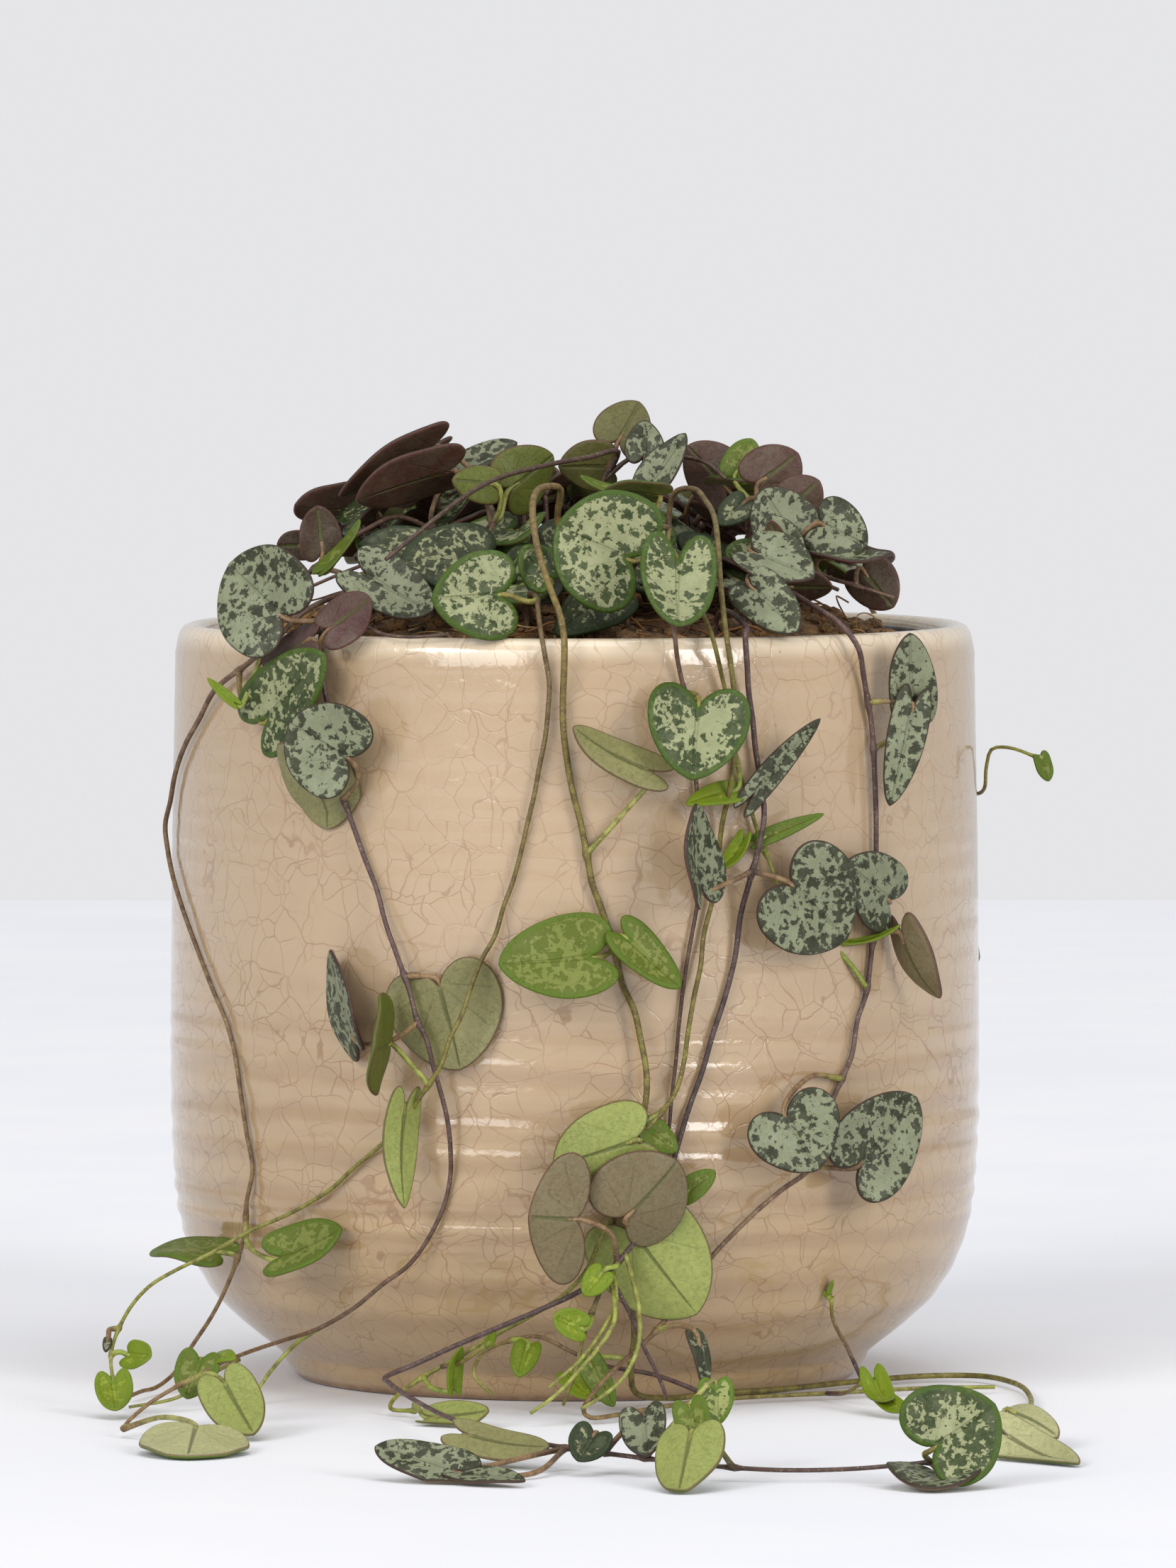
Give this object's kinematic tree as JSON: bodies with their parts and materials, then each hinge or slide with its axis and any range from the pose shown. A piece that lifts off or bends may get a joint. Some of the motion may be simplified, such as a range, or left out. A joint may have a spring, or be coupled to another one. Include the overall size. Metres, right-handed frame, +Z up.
{
  "type": "potted string of hearts",
  "caption": "Trailing heart-leaved house plant in a nursery pot inside a round crackle-glazed stoneware pot.",
  "frame": {"origin": "middle of the pot's flat base, on the surface that the pot stands on", "axes": "+Z up along the pot's axis; -Y is the side where the stems hang and trail; +X is to the right"},
  "size_m": [0.1636, 0.2714, 0.1696],
  "materials": {
    "glaze": "gloss",
    "plastic": "matte",
    "soil": "matte",
    "leaf": "satin"
  },
  "bodies": {
    "root": {"pot": "glaze", "grow_pot": "plastic", "soil": "soil", "stem_left_outer": "leaf", "stem_left_inner": "leaf", "stem_left_middle": "leaf", "stem_front_hook": "leaf", "stem_front_thin": "leaf", "stem_right_short": "leaf", "stem_right_arch": "leaf", "stem_right_dark": "leaf", "stem_right_outer": "leaf", "crown_left": "leaf", "crown_centre": "leaf", "crown_right": "leaf", "crown_back": "leaf", "stem_side_right": "leaf", "stem_back": "leaf", "stem_side_left": "leaf"}
  },
  "joints": []
}
